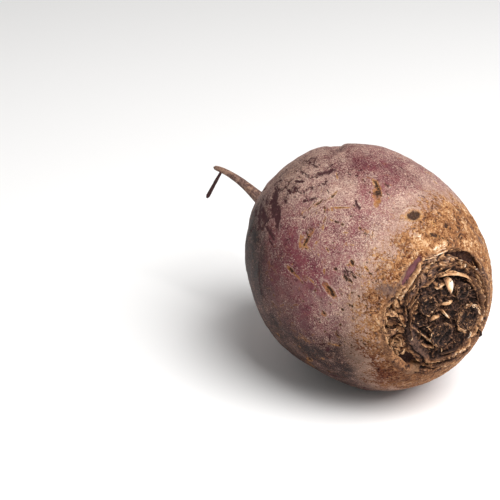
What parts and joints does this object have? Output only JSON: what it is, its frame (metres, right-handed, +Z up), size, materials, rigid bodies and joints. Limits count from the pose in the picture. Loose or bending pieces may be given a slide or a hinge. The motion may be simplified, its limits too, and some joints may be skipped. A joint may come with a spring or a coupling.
{
  "type": "beetroot",
  "caption": "Whole beetroot lying on its side: plump lobed root with a corky crown, dried leaf-stalk remains, a thin bent taproot and a side rootlet.",
  "frame": {"origin": "middle of the small flat spot on which the root rests", "axes": "+X out of the crown along the root's axis, -X towards the taproot, +Z up, away from the flat spot"},
  "size_m": [0.1554, 0.0878, 0.0906],
  "materials": {
    "skin": "dull mauve-brown root skin, finely speckled, tan and corky round the crown",
    "dried_stalk": "dry, dark, crumbly plant tissue",
    "dried_scale": "dry, pale, papery plant tissue",
    "dried_flake": "dry, crumpled, tan plant tissue"
  },
  "bodies": {
    "root": {"root": "skin", "stalk_base_right": "dried_stalk", "stalk_base_low": "dried_stalk", "stalk_base_left": "dried_stalk", "stalk_base_top": "dried_stalk", "scale_upper": "dried_scale", "scale_middle": "dried_scale", "scale_lower": "dried_scale", "scale_arched": "dried_scale", "scale_pointed": "dried_scale", "scale_outer": "dried_scale", "flake_upper": "dried_flake", "flake_middle": "dried_flake", "flake_low": "dried_flake"}
  },
  "joints": []
}
